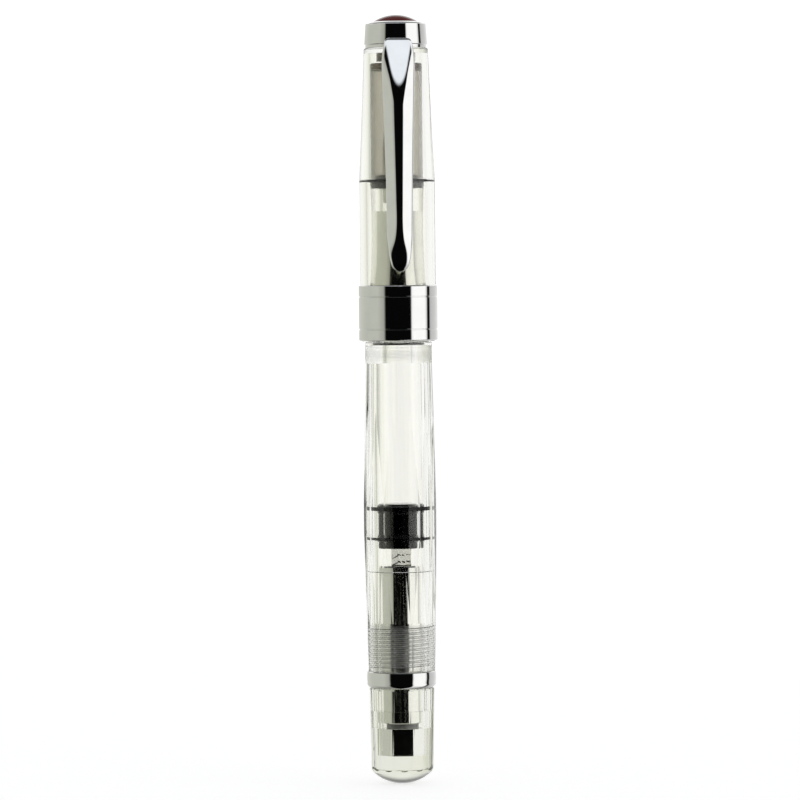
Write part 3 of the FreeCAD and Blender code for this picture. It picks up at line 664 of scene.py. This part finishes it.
def clip_half_width(up, length):
    """Half width at a height, with the round foot and the rounded top corners."""
    half = between(CLIP_HALF_WIDTH, up)
    if up < CLIP_FOOT_ROUND:
        short = (CLIP_FOOT_ROUND - up) / CLIP_FOOT_ROUND
        half *= math.sqrt(max(0.0, 1 - short**2))
    past = up - (length - CLIP_CORNER)
    if past > 0:
        half += math.sqrt(max(0.0, CLIP_CORNER**2 - past**2)) - CLIP_CORNER
    return half + CLIP_LEAST_HALF_WIDTH


def clip_surface(up, across, half, front, length):
    """Distance of the clip's front from the pen's axis."""
    ridge = front - between(CLIP_RIDGE_FALL, up)
    gable = ridge - roof(between(CLIP_RIDGE_RADIUS, up), abs(across))
    face = ridge + CLIP_FACE_PROUD - CLIP_FACE_SLOPE * (up - CLIP_FACE_TIP)
    head = smooth_rise((up - CLIP_FACE_TIP) / (length - CLIP_FACE_TIP))
    surface = smooth_least(gable, face, CLIP_CREASE_ROUND + CLIP_CREASE_ROUND * head)
    side_round = CLIP_SIDE_ROUND[0] + CLIP_SIDE_ROUND[1] * head
    past_side = max(0.0, abs(across) - (half - side_round)) / side_round
    past_top = max(0.0, up - (length - CLIP_TOP_ROUND)) / CLIP_TOP_ROUND
    past = min(1.0, math.hypot(past_side, past_top))
    surface -= CLIP_EDGE_FALL * (1 - math.sqrt(1 - past**2))
    return max(surface, between(CLIP_BACK, up) + CLIP_LEAST_THICKNESS)


def clip_row(up, front, length):
    """Points round the arm at one height: across its front, then back across its back."""
    half = clip_half_width(up, length)
    row = []
    for j in range(CLIP_COLUMNS):
        even = -1 + 2 * j / (CLIP_COLUMNS - 1)
        crowded = math.sin(even * math.pi / 2)
        across = half * ((1 - CLIP_COLUMN_CROWDING) * even + CLIP_COLUMN_CROWDING * crowded)
        row.append((across, -clip_surface(up, across, half, front, length), up))
    back = between(CLIP_BACK, up)
    for j in range(CLIP_BACK_COLUMNS):
        across = half * CLIP_BACK_SHARE * (1 - 2 * j / (CLIP_BACK_COLUMNS - 1))
        row.append((across, -back, up))
    return row


def build_clip():
    """Sprung arm: round ridge, straight flanks, a flat V-shaped face at its head, a round foot."""
    low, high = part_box("clip")
    length = (high.z - low.z) / MM
    front = -low.y / MM
    points, faces = [], []
    for i in range(CLIP_ROWS + 1):
        even = i / CLIP_ROWS
        crowded = 0.5 * (1 - math.cos(math.pi * even))
        up = length * ((1 - CLIP_ROW_CROWDING) * even + CLIP_ROW_CROWDING * crowded)
        points += clip_row(up, front, length)
    count = CLIP_COLUMNS + CLIP_BACK_COLUMNS
    for i in range(CLIP_ROWS):
        for j in range(count):
            a = i * count + j
            b = i * count + (j + 1) % count
            faces.append((a, b, b + count, a + count))
    faces.append(tuple(reversed(range(count))))
    faces.append(tuple(CLIP_ROWS * count + j for j in range(count)))
    points = [(x * MM, y * MM, low.z + up * MM) for x, y, up in points]
    arm = smooth_piece("clip_arm", points, faces, CHROME, sharp_degrees=50)
    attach(arm, "clip")
    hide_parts("clip")


# ---- Pieces pressed against the clear plastic, in millimetres ---------------------------------
# How far each reaches past its CAD surface: the gap there, and a little way into the plastic.
SEATED_REACH = 0.032
SEAL_REACH = 0.062
LIP_REACH = 0.028
LATHE_STEPS = 160


def lathe(name, body, material, outline, replaced=None):
    """Closed solid of revolution from (radius, height) points."""
    count = len(outline)
    points, faces = [], []
    for i in range(LATHE_STEPS):
        turn = 2 * math.pi * i / LATHE_STEPS
        points += [(r * MM * math.sin(turn), -r * MM * math.cos(turn), z * MM) for r, z in outline]
        here, there = i * count, (i + 1) % LATHE_STEPS * count
        for j in range(count):
            following = (j + 1) % count
            faces.append((here + j, here + following, there + following, there + j))
    piece = smooth_piece(name, points, faces, material, sharp_degrees=30)
    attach(piece, body)
    if replaced:
        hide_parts(replaced)


def ring_outline(inner, outer, low, high, corner):
    """Rectangle with rounded corners."""
    corner_points = 5
    centres = [
        (outer - corner, low + corner),
        (outer - corner, high - corner),
        (inner + corner, high - corner),
        (inner + corner, low + corner),
    ]
    outline = []
    for side, (r, z) in enumerate(centres):
        for k in range(corner_points):
            angle = math.radians(90 * (side - 1 + k / (corner_points - 1)))
            outline.append((r + corner * math.cos(angle), z + corner * math.sin(angle)))
    return outline


def extent(node):
    """Lowest and highest height of a round CAD node, and its radius."""
    low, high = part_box(node)
    return low.z / MM, high.z / MM, high.x / MM


def pressed_sleeve():
    """Metal lining moulded into the grip: with no air gap, it fills the grip when seen from outside."""
    low, high, widest = extent("grip_sleeve")
    bore = 2.3
    front = widest - 0.75
    waist = front + 0.2
    tail = widest - 0.55
    waist_height = high - 9.85
    flare_height = high - 14.25
    shoulder_height = low + 1.6
    tail_height = low + 1.0
    outside = [
        (front, high), (waist, waist_height), (widest, flare_height), (widest, shoulder_height),
        (tail, tail_height), (tail, low),
    ]
    outline = [(bore, high)] + [(r + SEATED_REACH, z) for r, z in outside] + [(bore, low)]
    lathe("sleeve_lining", "barrel", MATERIALS["grip_sleeve"], outline, "grip_sleeve")


def pressed_collar():
    """Black ring that holds the nib, touching the clear lip round it."""
    low, high, flange = extent("nib_collar")
    bore = flange - 1.28
    body = flange - 0.58 + SEATED_REACH
    rim_height = low + 1.47
    edge = 0.1
    corner = 0.3
    outline = [
        (bore, low), (body - edge, low), (body, low + edge), (body, rim_height), (flange, rim_height),
        (flange, high - corner), (flange - edge, high - edge), (flange - corner, high), (bore, high),
    ]
    lathe("collar_ring", "barrel", MATERIALS["nib_collar"], outline, "nib_collar")


def pressed_seal():
    """Rubber ring squeezed against the inside of the cap."""
    low, high, outer = extent("inner_cap_seal")
    thickness = 0.5
    inset = 0.02
    outline = ring_outline(outer - thickness, outer + SEAL_REACH, low + inset, high - inset, corner=0.12)
    lathe("cap_seal_ring", "inner_cap", MATERIALS["inner_cap_seal"], outline, "inner_cap_seal")


def piston_lips():
    """The two sealing lips, squeezed against the bore."""
    _, top, reach = extent("piston")
    inner = reach - 0.3
    for name, below_top, tall in (("piston_lip_front", 0.5, 0.8), ("piston_lip_rear", 6.15, 0.6)):
        high = top - below_top
        outline = ring_outline(inner, reach + LIP_REACH, high - tall, high, corner=0.1)
        lathe(name, "piston", MATERIALS["piston"], outline)


# ---- Assembly -------------------------------------------------------------------------------
for node, material in MATERIALS.items():
    dress(node, material)
build_clip()
pressed_sleeve()
pressed_collar()
pressed_seal()
piston_lips()
studio_world()
studio_floor()
studio_camera()
light_paths()
